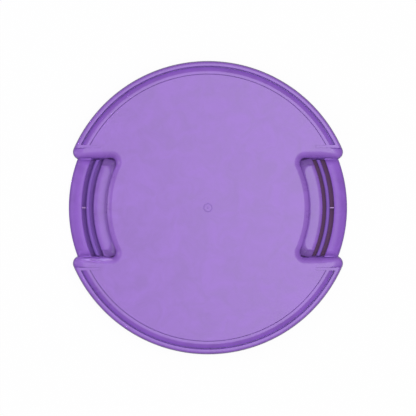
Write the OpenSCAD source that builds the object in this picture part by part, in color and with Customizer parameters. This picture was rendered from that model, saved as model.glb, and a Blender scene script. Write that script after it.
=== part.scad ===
// Round kneeling board for a garden: a moulded deck with a grooved rim at the front and the
// rear, and a sunken hand well at each side. Hollow below, on ring walls and radial ribs.
// Origin: centre of the footprint, on the ground. +Z is up and X runs through the hand wells.

/* [Board] */
// Diameter over the rims
board_d = 450; // [430:5:480]
// Height of the deck above the ground
board_h = 30; // [28:1:36]
// Thickness of the moulded walls
wall = 3; // [2.4:0.2:3.2]
// Rounding of the outer top edge
edge_r = 4; // [3.4:0.2:5]

/* [Rims] */
// Distance from the outer edge in to the seam between rim and deck
rim_w = 20; // [19:0.5:22]
// Width of the flat land between the seam and the channel
land_w = 4.5; // [3:0.5:6]
// Depth of the V channel
channel_depth = 6.5; // [4:0.5:8]
// Width of the channel's sloping side
channel_run = 5.5; // [4:0.5:6]
// Width of the channel's floor
channel_floor = 1.2; // [0.8:0.2:2]
// Sideways lean of the channel's steep outer side
channel_lean = 1.6; // [1:0.2:2]
// Width of the shelf that the deck's edge lies on
shelf_w = 5; // [3:0.5:8]
// Visible gap at the seam
seam_gap = 0.6; // [0.4:0.1:1]
// Bevel on each side of the seam
seam_bevel = 0.5; // [0.3:0.1:0.8]
// Straight stretch of the board's edge between the horn's rounding and the end of the rim
horn_land = 0.8; // [0.6:0.1:2]
// Solid length of the rim past the end of its channel
channel_stop = 5; // [5:0.5:9]
// Length of the flush tongue at each end of a rim
tongue_l = 18; // [10:1:24]
// Width of the tongue
tongue_w = 4; // [3:0.2:4.4]

/* [Hand wells] */
// Length of a hand well between its end walls
well_l = 147; // [130:1:160]
// Distance from the board's edge in to the well's curved wall
well_w = 70; // [68:1:80]
// Depth of the ledge below the deck
well_depth = 18; // [15:0.5:19]
// Rounding of the lip over the end walls
lip_r = 11.8; // [9:0.2:11.8]
// Rounding of the lip over the curved wall
back_lip_r = 8; // [6:0.5:9]
// Corner of the well in plan, at the foot of its walls
well_corner_r = 7; // [5:0.5:9]
// Plan rounding of the board's horn at the mouth of the well
horn_r = 12; // [12:0.2:14]
// Hollow rounding where ledge and grip meet the end walls
foot_r = 9; // [6:0.5:10]
// Hollow rounding at the foot of the curved wall
back_foot_r = 3.5; // [2:0.5:5]

/* [Grips] */
// Distance of the grip's outer edge inside the board's edge
grip_inset = 11.7; // [9:0.5:14]
// Width of the grip
grip_w = 20; // [17:0.5:21]
// Height of the grip's inner edge above the ledge
grip_rise = 4.5; // [3:0.5:6]
// Fall of the grip's top from its inner edge to its outer edge
grip_fall = 6; // [3:0.5:7]
// Rounding of the grip's inner edge
grip_inner_r = 2.2; // [1.5:0.1:2.8]
// Rounding of the grip's outer edge
grip_outer_r = 4.4; // [3.4:0.2:5]
// Height of the grip's lower edge above the ground
grip_clear = 3; // [2:0.5:5]
// Slant of the grip's hollow inner side
grip_draft = 0.3; // [0.2:0.1:0.6]

/* [Grooves] */
// Width of each ring groove
groove_w = 6.6; // [5:0.2:8]
// Width of the double-walled ring between the grooves
middle_w = 5.4; // [5:0.2:7]
// Wall of the double-walled ring
middle_wall = 1.8; // [1.4:0.1:2]
// Height of the double-walled ring above the ledge, inside the wells
middle_rise = 1.5; // [0.5:0.5:3]
// Thickness of a web across the outer groove
web_t = 1.6; // [1.2:0.1:2.4]
// Height of a web
web_h = 6; // [4:0.5:8]
// Gap between a well's lip and the full height of the ring walls and ribs
lip_gap = 1; // [0.6:0.1:2]

/* [Underside ribs] */
// Number of radial ribs
rib_count = 12; // [8:2:16]
// Thickness of a rib
rib_t = 2.2; // [1.6:0.2:2.8]
// Height of a rib, down from the deck
rib_h = 16; // [12:1:20]
// Diameter of the hub ring
hub_d = 44; // [36:2:60]
// Diameter of the ring half way out
half_ring_d = 180; // [140:5:200]

/* [Centre mark] */
// Diameter of the shallow moulded ring in the centre of the deck
mark_d = 13.4; // [10:0.2:18]
// Width of its groove
mark_w = 1.3; // [1:0.1:1.8]
// Depth of its groove
mark_depth = 0.6; // [0.4:0.1:0.8]
// Diameter of the pip in its centre
pip_d = 2.4; // [2:0.2:3]

/* [Hidden] */
$fn = 180;

over = 1;                              // how far a cutter runs past what it cuts
board_r = board_d / 2;
deck_low = board_h - wall;             // underside of the deck plate
seam_r = board_r - rim_w;              // seam circle between deck and rims
deck_edge_r = seam_r - seam_gap;
well_half = well_l / 2;
well_r = board_r - well_w;             // curved wall of a hand well
horn_c_y = well_half + horn_r;         // centre of the horn's plan rounding
horn_c = [sqrt(pow(board_r - horn_r, 2) - pow(horn_c_y, 2)), horn_c_y];
horn_a = atan2(horn_c[1], horn_c[0]);
horn_y = board_r * sin(horn_a) + horn_land;    // plane where the horn ends against a rim
rim_y = horn_y + seam_gap;             // plane where a rim ends
channel_y = rim_y + channel_stop;      // plane where the channel ends
tongue_y = rim_y + seam_gap / 2;       // near side of a tongue
tongue_x = sqrt(pow(seam_r, 2) - pow(tongue_y, 2)) - tongue_l;

ledge_z = board_h - well_depth;        // top of the ledge
seat_z = ledge_z - wall;               // underside of the ledge, on top of the ring walls
grip_z = ledge_z + grip_rise;          // top of the grip at its inner edge
middle_z = ledge_z + middle_rise;      // top of the double-walled ring in the wells
grip_out_r = board_r - grip_inset;
grip_in_r = grip_out_r - grip_w;       // outer side of the outer groove
middle_out_r = grip_in_r - groove_w;
middle_in_r = middle_out_r - middle_w;
ledge_out_r = middle_in_r - groove_w;  // inner side of the inner groove
full_y = well_half + lip_r + lip_gap;  // beyond this plane the ring walls reach up to the deck

// The plan of a well is a list of stations [x, y, nx, ny, r]: a point at the foot of its wall,
// the direction from there into the board, and the rounding of the lip above.
HORN_STEPS = 12;
CORNER_STEPS = 8;
BACK_STEPS = 24;
corner_c_y = well_half - well_corner_r;
corner_c = [sqrt(pow(well_r + well_corner_r, 2) - pow(corner_c_y, 2)), corner_c_y];
corner_a = atan2(corner_c[1], corner_c[0]);
function toward(a) = [cos(a), sin(a)];
function blend(a, b, t) = a + (b - a) * t;
function station(p, n, r) = [p[0], p[1], n[0], n[1], r];
function flipped(s) = [for (i = [len(s) - 1:-1:0]) [s[i][0], -s[i][1], s[i][2], -s[i][3], s[i][4]]];
horn_stations = [for (i = [0:HORN_STEPS]) let (u = toward(blend(horn_a, -90, i / HORN_STEPS)))
    station(horn_c + horn_r * u, -u, blend(edge_r, lip_r, i / HORN_STEPS))];
corner_stations = [for (i = [0:CORNER_STEPS]) let (u = toward(blend(90, 180 + corner_a, i / CORNER_STEPS)))
    station(corner_c + well_corner_r * u, u, blend(lip_r, back_lip_r, i / CORNER_STEPS))];
back_stations = [for (i = [1:BACK_STEPS - 1]) let (u = toward(blend(corner_a, -corner_a, i / BACK_STEPS)))
    station(well_r * u, -u, back_lip_r)];
side_stations = concat(horn_stations, corner_stations);
well_stations = concat(side_stations, back_stations, flipped(side_stations));

// Section of lip and wall at a station: up the wall, round the lip to the deck, and back down
// the hidden face. The wall stops on the ring walls, but the horn's skirt reaches the ground.
LIP_STEPS = 8;
function plan_point(s, reach, z) = [s[0] + s[2] * reach, s[1] + s[3] * reach, z];
function lip_point(s, skin, a) =
    plan_point(s, s[4] - (s[4] - skin) * cos(a), board_h - s[4] + (s[4] - skin) * sin(a));
function wall_foot(s) = norm([s[0], s[1]]) > grip_out_r ? 0 : seat_z;
function lip_section(s) = concat(
    [plan_point(s, 0, wall_foot(s))],
    [for (j = [0:LIP_STEPS]) lip_point(s, 0, 90 * j / LIP_STEPS)],
    [for (j = [LIP_STEPS:-1:0]) lip_point(s, wall, 90 * j / LIP_STEPS)],
    [plan_point(s, wall, wall_foot(s))]);
function plan_of(points) = [for (p = points) [p[0], p[1]]];
well_foot_line = plan_of(well_stations);
well_top_line = [for (s = well_stations) let (p = lip_point(s, 0, 90)) [p[0], p[1]]];
// A well's outline, closed by two points well outside the board
function closed_outline(line) = let (last = line[len(line) - 1])
    concat([line[0] * (1 + well_w / board_r)], line, [last * (1 + well_w / board_r)]);

// A closed solid through closed sections that all have the same number of points. Each section
// runs along one face and back along the other, so its ends close as a strip between the two.
module sections_solid(sections) {
    n = len(sections);
    m = len(sections[0]);
    last = (n - 1) * m;
    polyhedron(
        points = [for (s = sections) for (p = s) p],
        faces = concat(
            [for (j = [0:m / 2 - 2]) [j, j + 1, m - 2 - j, m - 1 - j]],
            [for (j = [0:m / 2 - 2]) [last + m - 1 - j, last + m - 2 - j, last + j + 1, last + j]],
            [for (i = [0:n - 2]) for (j = [0:m - 1]) let (k = (j + 1) % m)
                [i * m + j, (i + 1) * m + j, i * m + k]],
            [for (i = [0:n - 2]) for (j = [0:m - 1]) let (k = (j + 1) % m)
                [i * m + k, (i + 1) * m + j, (i + 1) * m + k]]));
}

module both_sides() {
    children();
    mirror([1, 0, 0]) children();
}
module front_and_rear() {
    children();
    mirror([0, 1, 0]) children();
}
// Everything on the rear side from a plane onward, or between the same plane front and rear
module rear_of(y, z0, z1) {
    translate([-board_d, y, z0]) cube([2 * board_d, board_d, z1 - z0]);
}
module within(y, z0, z1) {
    translate([-board_d, -y, z0]) cube([2 * board_d, 2 * y, z1 - z0]);
}
module ring(outer, inner, z0, z1) {
    translate([0, 0, z0]) difference() {
        cylinder(r = outer, h = z1 - z0);
        translate([0, 0, -over]) cylinder(r = inner, h = z1 - z0 + 2 * over);
    }
}
// Bevel along the top edges of the seam between a rim's end and the horn
module seam_groove() {
    translate([0, rim_y - seam_gap / 2, board_h]) rotate([45, 0, 0])
        cube([2 * board_d, seam_gap + seam_bevel, seam_gap + seam_bevel], center = true);
}

// Deck: a plate with the outer skirt of the four horns
module deck_section() {
    difference() {
        union() {
            square([board_r - edge_r, board_h]);
            square([board_r, board_h - edge_r]);
            translate([board_r - edge_r, board_h - edge_r]) circle(r = edge_r);
        }
        square([board_r - edge_r, deck_low]);
        square([board_r - wall, board_h - edge_r]);
        translate([board_r - edge_r, board_h - edge_r]) circle(r = edge_r - wall);
        translate([mark_d / 2 - mark_w / 2, board_h - mark_depth]) square([mark_w, wall]);
        translate([0, board_h - mark_depth]) square([pip_d / 2, wall]);
    }
}
module deck() {
    color("mediumpurple") difference() {
        rotate_extrude() deck_section();
        both_sides() translate([0, 0, -over]) linear_extrude(board_h + 2 * over)
            polygon(closed_outline(well_top_line));
        front_and_rear() difference() {
            rear_of(horn_y, -over, board_h + over);
            translate([0, 0, -2 * over]) cylinder(r = deck_edge_r, h = board_h + 4 * over);
        }
        front_and_rear() difference() {
            seam_groove();
            translate([0, 0, -over]) cylinder(r = seam_r, h = board_h + 2 * over);
        }
        front_and_rear() both_sides()
            translate([tongue_x - seam_gap / 2, tongue_y - seam_gap / 2, deck_low - over])
                cube([rim_w + tongue_l, tongue_w + seam_gap, wall + 2 * over]);
    }
}

// Rim: skirt, head with the V channel, shelf under the deck's edge, and a tongue at each end
module rim_section() {
    floor_in = seam_r + land_w + channel_run;
    head_low = board_h - channel_depth - wall;
    difference() {
        union() {
            translate([seam_r, 0]) square([rim_w - edge_r, board_h]);
            translate([seam_r, 0]) square([rim_w, board_h - edge_r]);
            translate([board_r - edge_r, board_h - edge_r]) circle(r = edge_r);
            translate([seam_r - shelf_w, deck_low - wall]) square([shelf_w + over, wall]);
        }
        polygon([[seam_r - over, -over], [board_r - wall, -over], [board_r - wall, head_low],
            [floor_in - wall / 2, head_low], [floor_in - wall / 2 - channel_run / 2, deck_low - wall],
            [seam_r - over, deck_low - wall]]);
        polygon([[seam_r - over, board_h - seam_bevel], [seam_r, board_h - seam_bevel],
            [seam_r + seam_bevel + over, board_h + over], [seam_r - over, board_h + over]]);
    }
}
module channel_section() {
    slope_in = seam_r + land_w;
    floor_in = slope_in + channel_run;
    floor_out = floor_in + channel_floor;
    floor_z = board_h - channel_depth;
    polygon([[slope_in, board_h + over], [slope_in, board_h], [floor_in, floor_z],
        [floor_out, floor_z], [floor_out + channel_lean, board_h],
        [floor_out + channel_lean, board_h + over]]);
}
module rim_shape() {
    tongue_out = sqrt(pow(seam_r, 2) - pow(tongue_y + tongue_w, 2)) + land_w;
    difference() {
        intersection() {
            rotate_extrude() rim_section();
            rear_of(rim_y, -over, board_h + over);
        }
        intersection() {
            rotate_extrude() channel_section();
            rear_of(channel_y, 0, board_h + 2 * over);
        }
        seam_groove();
    }
    both_sides() translate([tongue_x, tongue_y, deck_low])
        cube([tongue_out - tongue_x, tongue_w, wall]);
}
module rear_rim() { color("mediumpurple") rim_shape(); }
module front_rim() { color("mediumpurple") mirror([0, 1, 0]) rim_shape(); }

// Well: the lip, the curved wall, the end walls and the rounded horns, in one skin
module well_shape() { sections_solid([for (s = well_stations) lip_section(s)]); }
module right_well() { color("mediumpurple") well_shape(); }
module left_well() { color("mediumpurple") mirror([1, 0, 0]) well_shape(); }

// Ledge: the flat inner floor of a well, with hollow roundings at the foot of the walls
module ledge_section() {
    difference() {
        union() {
            translate([well_r - well_corner_r, seat_z])
                square([ledge_out_r - well_r + well_corner_r, wall]);
            translate([well_r - well_corner_r, seat_z])
                square([well_corner_r + back_foot_r, wall + back_foot_r * 0.8]);
        }
        translate([well_r + back_foot_r, ledge_z + back_foot_r]) circle(r = back_foot_r);
        translate([ledge_out_r - edge_r / 2, ledge_z - edge_r / 2]) difference() {
            square(edge_r);
            circle(r = edge_r / 2);
        }
    }
}
// Filling between the floor and the rear end wall, up to where it would become a feather edge
module foot_filling(z) {
    translate([0, 0, seat_z]) difference() {
        translate([0, well_half - foot_r, 0]) cube([board_d, foot_r + horn_r, z - seat_z + 0.8 * foot_r]);
        translate([-over, well_half - foot_r, z - seat_z + foot_r]) rotate([0, 90, 0])
            cylinder(r = foot_r, h = board_d + 2 * over);
    }
}
module ledge_shape() {
    intersection() {
        union() {
            rotate_extrude() ledge_section();
            intersection() {
                front_and_rear() foot_filling(ledge_z);
                ring(ledge_out_r, well_r - well_corner_r, 0, board_h);
            }
        }
        linear_extrude(board_h) polygon(closed_outline(well_foot_line));
    }
}
module right_ledge() { color("mediumpurple") ledge_shape(); }
module left_ledge() { color("mediumpurple") mirror([1, 0, 0]) ledge_shape(); }

// Grip: a crowned band along the mouth of a well, hollow below, that sweeps up at both ends
CROWN_STEPS = 6;
ROUND_STEPS = 5;
FOOT_STEPS = 6;
SPAN_STEPS = 14;
crown_in_r = grip_in_r + grip_inner_r;
crown_out_r = grip_out_r - grip_outer_r;
crown_low = grip_z - grip_fall;
// Where the wall stands at a radius: straight at the end of the well, then round the horn
function wall_y(x) = x < horn_c[0] ? well_half : horn_c[1] - sqrt(pow(horn_r, 2) - pow(x - horn_c[0], 2));
function end_y(r, y = well_half, turns = 4) =
    turns == 0 ? y : end_y(r, wall_y(sqrt(r * r - y * y)), turns - 1);
// Columns across the band: [radius, underside]; the top is worked out from the radius
under_in_r = grip_in_r + wall + grip_draft;
function grip_top(r) =
    r < crown_in_r ? grip_z - grip_inner_r + sqrt(max(0, pow(grip_inner_r, 2) - pow(crown_in_r - r, 2))) :
    r > crown_out_r ? crown_low - grip_outer_r + sqrt(max(0, pow(grip_outer_r, 2) - pow(r - crown_out_r, 2))) :
    grip_z - grip_fall * pow((r - crown_in_r) / (crown_out_r - crown_in_r), 1.5);
grip_columns = concat(
    [for (i = [0:ROUND_STEPS]) [crown_in_r - grip_inner_r * cos(90 * i / ROUND_STEPS), seat_z]],
    [[grip_in_r + wall, seat_z]],
    [for (i = [0:CROWN_STEPS]) [blend(under_in_r, crown_out_r, i / CROWN_STEPS), crown_low - wall]],
    [for (i = [1:ROUND_STEPS]) [crown_out_r + grip_outer_r * sin(90 * i / ROUND_STEPS), grip_clear]]);
grip_line = concat(
    [for (c = grip_columns) [c[0], grip_top(c[0]), 1]],
    [for (i = [len(grip_columns) - 1:-1:0]) [grip_columns[i][0], grip_columns[i][1], 0]]);
// A point of the outline [radius, height, share of the lift] at a distance from the end wall,
// where the top sweeps up, or at a share of the middle stretch
FOOT_A = 80;
function grip_lift(gap) = foot_r - sqrt(pow(foot_r, 2) - pow(min(foot_r - gap, foot_r * sin(FOOT_A)), 2));
function grip_place(p, y, lift) = [sqrt(p[0] * p[0] - y * y), y, p[1] + p[2] * lift];
function grip_foot(side, gap) =
    [for (p = grip_line) grip_place(p, side * (end_y(p[0]) - gap), grip_lift(gap))];
function grip_middle(t) = [for (p = grip_line) grip_place(p, t * (end_y(p[0]) - foot_r), 0)];
foot_gaps = [for (i = [FOOT_STEPS:-1:1]) foot_r * (1 - sin(FOOT_A * i / FOOT_STEPS))];
grip_sections = concat(
    [grip_foot(-1, 0)],
    [for (gap = foot_gaps) grip_foot(-1, gap)],
    [for (i = [0:SPAN_STEPS]) grip_middle(2 * i / SPAN_STEPS - 1)],
    [for (i = [FOOT_STEPS - 1:-1:0]) grip_foot(1, foot_gaps[i])],
    [grip_foot(1, 0)]);
module grip_shape() { sections_solid(grip_sections); }
module right_grip() { color("mediumpurple") grip_shape(); }
module left_grip() { color("mediumpurple") mirror([1, 0, 0]) grip_shape(); }

// Ring walls: low where they carry the wells, and up to the deck at the front and the rear
module ring_wall(outer, inner) {
    ring(outer, inner, 0, seat_z);
    front_and_rear() intersection() {
        ring(outer, inner, seat_z, deck_low);
        rear_of(full_y, 0, board_h);
    }
}
module inner_ring() { color("mediumpurple") ring_wall(ledge_out_r, ledge_out_r - wall); }
module outer_ring() { color("mediumpurple") ring_wall(grip_in_r + wall, grip_in_r); }

// Double-walled ring: closed on top where it shows between the two slots of a well
EDGE_STEPS = 3;
module middle_top_section() {
    round_r = middle_wall / 2;
    turns = [for (i = [0:EDGE_STEPS]) 90 * i / EDGE_STEPS];
    difference() {
        polygon(concat(
            [[middle_out_r, seat_z]],
            [for (a = turns) [middle_out_r - round_r + round_r * cos(a), middle_z - round_r + round_r * sin(a)]],
            [for (a = turns) [middle_in_r + round_r - round_r * sin(a), middle_z - round_r + round_r * cos(a)]],
            [[middle_in_r, seat_z]]));
        translate([middle_in_r + middle_wall, seat_z - over])
            square([middle_w - 2 * middle_wall, middle_z - seat_z - middle_wall + over]);
    }
}
module middle_ring() {
    color("mediumpurple") {
        ring_wall(middle_out_r, middle_out_r - middle_wall);
        ring_wall(middle_in_r + middle_wall, middle_in_r);
        intersection() {
            rotate_extrude() middle_top_section();
            within(well_half, 0, board_h);
        }
    }
}

// Webs high up across the outer groove, one of them open to view in each well
module groove_webs() {
    color("mediumpurple") for (i = [0:rib_count - 1]) let (
        a = i * 360 / rib_count,
        web_top = abs(sin(a)) * middle_out_r > full_y + web_t ? deck_low : middle_z - middle_wall)
        rotate([0, 0, a]) intersection() {
            ring(grip_in_r, middle_out_r, web_top - web_h, web_top);
            translate([0, -web_t / 2, 0]) cube([board_r, web_t, board_h]);
        }
}

// Ribs and rings that hang from the deck; a rib stops short of a well's lip
rib_low = deck_low - rib_h;
function rib_end(a) = abs(sin(a)) * (ledge_out_r - wall) > full_y + rib_t ? ledge_out_r - wall
    : well_r - back_lip_r - lip_gap;
module rib_span(inner, outer) {
    intersection() {
        ring(outer, inner, rib_low, deck_low);
        translate([0, -rib_t / 2, 0]) cube([board_r, rib_t, board_h]);
    }
}
module radial_ribs() {
    color("mediumpurple") for (i = [0:rib_count - 1]) let (a = (i + 0.5) * 360 / rib_count)
        rotate([0, 0, a]) {
            rib_span(hub_d / 2, half_ring_d / 2);
            rib_span(half_ring_d / 2 + rib_t, rib_end(a));
        }
}
module hub_ring() { color("mediumpurple") ring(hub_d / 2, hub_d / 2 - rib_t, rib_low, deck_low); }
module half_ring() {
    color("mediumpurple") ring(half_ring_d / 2 + rib_t, half_ring_d / 2, rib_low, deck_low);
}

deck();
rear_rim();
front_rim();
left_well();
right_well();
left_ledge();
right_ledge();
left_grip();
right_grip();
inner_ring();
middle_ring();
outer_ring();
groove_webs();
radial_ribs();
hub_ring();
half_ring();
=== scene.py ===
"""Dresses the round kneeling board: its moulded skin, rims, ledges and grips, and its studio."""
from math import asin, atan2, cos, hypot, pi, radians, sin, sqrt

import bmesh
import bpy
from bmesh.types import BMEdge, BMFace, BMVert
from bpy.props import FloatProperty, FloatVectorProperty, IntProperty, PointerProperty
from mathutils import Matrix, Vector


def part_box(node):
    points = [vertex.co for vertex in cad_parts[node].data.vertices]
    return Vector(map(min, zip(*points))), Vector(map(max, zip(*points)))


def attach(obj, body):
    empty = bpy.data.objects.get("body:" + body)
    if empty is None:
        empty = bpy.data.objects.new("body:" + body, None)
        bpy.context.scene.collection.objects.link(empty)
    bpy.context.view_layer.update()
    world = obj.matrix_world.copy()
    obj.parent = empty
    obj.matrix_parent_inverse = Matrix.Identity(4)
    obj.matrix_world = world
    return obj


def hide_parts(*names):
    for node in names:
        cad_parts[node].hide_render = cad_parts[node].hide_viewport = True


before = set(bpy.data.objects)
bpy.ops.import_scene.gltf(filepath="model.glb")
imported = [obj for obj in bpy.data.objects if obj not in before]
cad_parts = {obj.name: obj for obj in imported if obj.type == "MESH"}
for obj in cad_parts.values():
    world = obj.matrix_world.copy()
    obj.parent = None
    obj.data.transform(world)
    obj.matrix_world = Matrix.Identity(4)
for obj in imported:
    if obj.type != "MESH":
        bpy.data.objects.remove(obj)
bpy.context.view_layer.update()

bl_info = {
    "name": "Kneeling Board",
    "version": (1, 0, 0),
    "blender": (4, 5, 0),
    "location": "View3D > Sidebar > Board",
    "description": "Models and finishes a round moulded kneeling board with two hand wells",
    "category": "Object",
}

BODY = "root"
MM = 0.001

# Places that come from the frame
BOARD_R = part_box("rear_rim")[1].y
DECK_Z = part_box("deck")[1].z
SEAT_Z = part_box("right_ledge")[0].z
LEDGE_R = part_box("right_ledge")[1].x
WELL_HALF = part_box("right_ledge")[1].y
GRIP_OUT_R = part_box("right_grip")[1].x
GRIP_FOOT_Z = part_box("right_grip")[0].z
RIM_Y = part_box("rear_rim")[0].y
HORN_Y = RIM_Y - 0.6 * MM

# Small distances that count as none: in a cut, between two points, and from a surface
HAIR = 0.001 * MM
SNAP = 0.01 * MM
NEAR = 0.1 * MM

SHARP_FROM = radians(35)  # edges that turn more than this stay crisp

# Steps in the round stretches of the deck's outline, and in each turned band
SEAM_STEPS, HORN_STEPS, WALL_STEPS, CORNER_STEPS, BACK_STEPS = 96, 20, 16, 14, 32
RIM_STEPS, LEDGE_STEPS, GRIP_STEPS, CROWN_STEPS = 220, 160, 240, 120

# The fine line along a rim's end widens to its full gap between these distances from the seam
OPENING_FROM = 3 * MM
OPENING_TO = 6 * MM


def length(name, description, default, **limits):
    """A property that holds a length, in metres."""
    return FloatProperty(name=name, description=description, default=default, unit="LENGTH",
                         **limits)


def tone(name, description, default):
    """A property that holds a colour, as linear red, green and blue."""
    return FloatVectorProperty(name=name, description=description, default=default, size=3,
                               subtype="COLOR", min=0, max=1)


class BoardSizes(bpy.types.PropertyGroup):
    """Sizes of the moulded skin that a user may change"""

    wall: length("Wall", "Thickness of the moulded walls", 3 * MM, min=1 * MM, max=5 * MM)
    edge_r: length("Rim rounding", "Rounding of the outer top edge", 3 * MM, min=1 * MM, max=6 * MM)
    seam_r: length("Seam radius", "Radius of the seam between deck and rims", BOARD_R - 20 * MM)
    seam_gap: length("Seam gap", "Visible gap at the seam", 0.6 * MM)
    seam_bevel: length("Seam bevel", "Bevel on each side of the seam", 0.5 * MM)
    witness_gap: length("Tongue line", "Fine line round a flush tongue", 0.12 * MM)
    draft: length("Skirt draft", "How far the skirt leans out to its foot", 1.4 * MM)
    shelf_w: length("Shelf", "Width of the shelf under the deck's edge", 5 * MM)
    land_w: length("Land", "Flat land between the seam and the channel", 4.5 * MM)
    channel_depth: length("Channel depth", "Depth of the V channel", 4.2 * MM)
    channel_run: length("Channel slope", "Width of the channel's sloping side", 6 * MM)
    channel_floor: length("Channel floor", "Width of the channel's floor", 0.8 * MM)
    channel_lean: length("Channel lean", "Lean of the channel's steep side", 1.1 * MM)
    crease_depth: length("Crease depth", "Depth of the crease along its floor", 2.5 * MM)
    channel_stop: length("Channel stop", "Solid end of a rim past its channel", 5 * MM)
    tongue_l: length("Tongue length", "Length of a rim's flush tongue", 18 * MM)
    tongue_w: length("Tongue width", "Width of a rim's flush tongue", 4 * MM)
    well_w: length("Well width", "From the board's edge in to the well's wall", 70 * MM)
    lip_r: length("Lip rounding", "Rounding of the lip over the end walls", 12 * MM)
    back_lip_r: length("Back lip", "Width of the lip over the curved wall", 7.4 * MM)
    back_lip_drop: FloatProperty(name="Back lip drop", description="Depth of that lip to its width",
                                 default=0.55, min=0.3, max=1.5)
    back_lip_flat: FloatProperty(name="Back lip flatness", description="1 is round, 2 a plain slope",
                                 default=1.6, min=1, max=2)
    wall_draft: length("End wall draft", "How far the end walls lean back", 2.2 * MM)
    corner_r: length("Well corner", "Corner of the well in plan", 7 * MM)
    horn_r: length("Horn", "Plan rounding of the horn at the well's mouth", 12 * MM)
    foot_r: length("Foot", "Width of the hollow at the end walls' feet", 15 * MM)
    foot_h: length("Foot height", "Height of that hollow", 9.5 * MM)
    horn_slope_w: length("Horn slope", "How far a horn slopes to its outer end", 15 * MM)
    horn_drop: length("Horn drop", "Depth of that slope", 7 * MM)
    slot_edge_r: length("Slot edge", "Rounding of the ledge beside the slot", 6 * MM)
    slot_edge_drop: length("Slot edge drop", "Depth of that rounding", 2.9 * MM)
    slot_lap: length("Slot lap", "How far the ledge laps over its ring wall", 1 * MM)
    sweep_r: length("Grip sweep", "Hollow rounding of the grip up to the horns", 9 * MM)
    back_foot_r: length("Back foot", "Hollow rounding at the curved wall", 2.6 * MM)
    grip_w: length("Grip width", "Width of the grip band", 20 * MM)
    grip_rise: length("Grip rise", "Grip's inner edge above the ledge", 4.5 * MM)
    grip_fall: length("Grip fall", "Fall of the grip to its outer edge", 6 * MM)
    grip_crown: length("Grip crown", "Grip's middle above its inner edge", 1.2 * MM)
    grip_inner_r: length("Grip inner edge", "Rounding of the grip's inner edge", 1.5 * MM)
    grip_outer_r: length("Grip outer edge", "Rounding of the grip's outer edge", 4.4 * MM)
    slot_w: length("Slot width", "Width of each of a well's two slots", 6.6 * MM)
    ring_w: length("Ring width", "Width of the ring between the slots", 5.4 * MM)
    ring_rise: length("Ring rise", "Height of that ring above the ledges", 1.5 * MM)
    ring_crown: length("Ring crown", "How far its rounded top stands up", 1.2 * MM)
    mark_d: length("Centre mark", "Diameter of the moulded ring in the centre", 12.2 * MM)
    mark_w: length("Mark width", "Width of its groove", 1.3 * MM)
    mark_depth: length("Mark depth", "Depth of its groove", 0.9 * MM)
    pip_d: length("Pip", "Diameter of the pip in its centre", 2.4 * MM)
    round_steps: IntProperty(name="Steps", description="Steps round a lip", default=10, min=4, max=16)


class BoardColours(bpy.types.PropertyGroup):
    """Colours of the moulding and its studio"""

    moulding: tone("Moulding", "Colour of the purple moulding", (0.27, 0.115, 0.535))
    grip: tone("Grips", "Colour of the grip bands", (0.262, 0.108, 0.54))
    # painted shade: the rings and ribs get a darker tone than the moulding, for the shade deep in the
    # wells' slots
    groove: tone("Grooves", "Duller tone of the rings and ribs", (0.205, 0.085, 0.46))
    # painted highlight: the webs are paler than the moulding, for the light caught on their tops
    web: tone("Webs", "Paler tone of the thin webs in the slots", (0.4, 0.2, 0.55))
    floor: tone("Floor", "Colour of the studio floor", (0.5, 0.5, 0.5))
    # painted shade: the floor seen through the slots is coloured as if in the board's shadow, purple
    # with painted bounce light under the left well and darker under the right
    stand: tone("Stand", "Colour of the floor under the left well", (0.29, 0.13, 0.56))
    shade: tone("Shade", "Colour of the floor under the right well", (0.19, 0.085, 0.2))


def sizes():
    return bpy.context.scene.board_sizes


def colours():
    return bpy.context.scene.board_colours


# ---------------------------------------------------------------- drawing with bmesh operators

def only(kind, geom):
    """The verts, edges or faces in some geometry; kind is BMVert, BMEdge or BMFace."""
    return [e for e in geom if isinstance(e, kind)]


def line_to(bm, vert, x, y, steps=1):
    """A straight line in plan from vert to a new point, in equal steps."""
    start = vert.co.copy()
    end = Vector((x, y, start.z))
    for step in range(steps):
        new = bm.verts.new(start.lerp(end, (step + 1) / steps))
        bm.edges.new((vert, new))
        vert = new
    return vert


def arc_by(bm, vert, centre, angle, steps):
    """An arc in plan from vert, turned by angle about centre, anticlockwise if positive."""
    turned = bmesh.ops.spin(bm, geom=[vert], cent=(centre[0], centre[1], 0), axis=(0, 0, 1),
                            angle=angle, steps=steps, use_duplicate=False)
    return only(BMVert, turned["geom_last"])[0]


def mirror_plan(bm, axis):
    """Adds the mirror image of a plan across an axis, and joins the two."""
    bmesh.ops.mirror(bm, geom=bm.verts[:] + bm.edges[:], matrix=Matrix(), merge_dist=SNAP,
                     axis=axis)
    bmesh.ops.remove_doubles(bm, verts=bm.verts, dist=SNAP)


def revolve(bm, corners, start, angle, steps, segments=6):
    """Turns a closed profile of (radius, height, rounding) corners about Z from start by angle."""
    verts = [bm.verts.new((r, 0, z)) for r, z, _ in corners]
    bm.faces.new(verts)
    for vert, (_, _, rounding) in zip(verts, corners):
        if rounding:
            bmesh.ops.bevel(bm, geom=[vert], offset=rounding, offset_type="OFFSET",
                            segments=segments, profile=0.5, affect="VERTICES",
                            clamp_overlap=False, material=-1)
    bmesh.ops.delete(bm, geom=bm.faces[:], context="FACES_ONLY")
    bmesh.ops.rotate(bm, verts=bm.verts[:], cent=(0, 0, 0), matrix=Matrix.Rotation(start, 3, "Z"))
    bmesh.ops.spin(bm, geom=bm.verts[:] + bm.edges[:], cent=(0, 0, 0), axis=(0, 0, 1),
                   angle=angle, steps=steps, use_duplicate=False)


def cut_at_y(bm, y, clear=None):
    """Cuts the whole mesh at a plane of constant y. clear is the side to take away: -1 or 1."""
    bmesh.ops.bisect_plane(bm, geom=bm.verts[:] + bm.edges[:] + bm.faces[:], dist=HAIR,
                           plane_co=(0, y, 0), plane_no=(0, 1, 0),
                           clear_inner=clear == -1, clear_outer=clear == 1)


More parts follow.
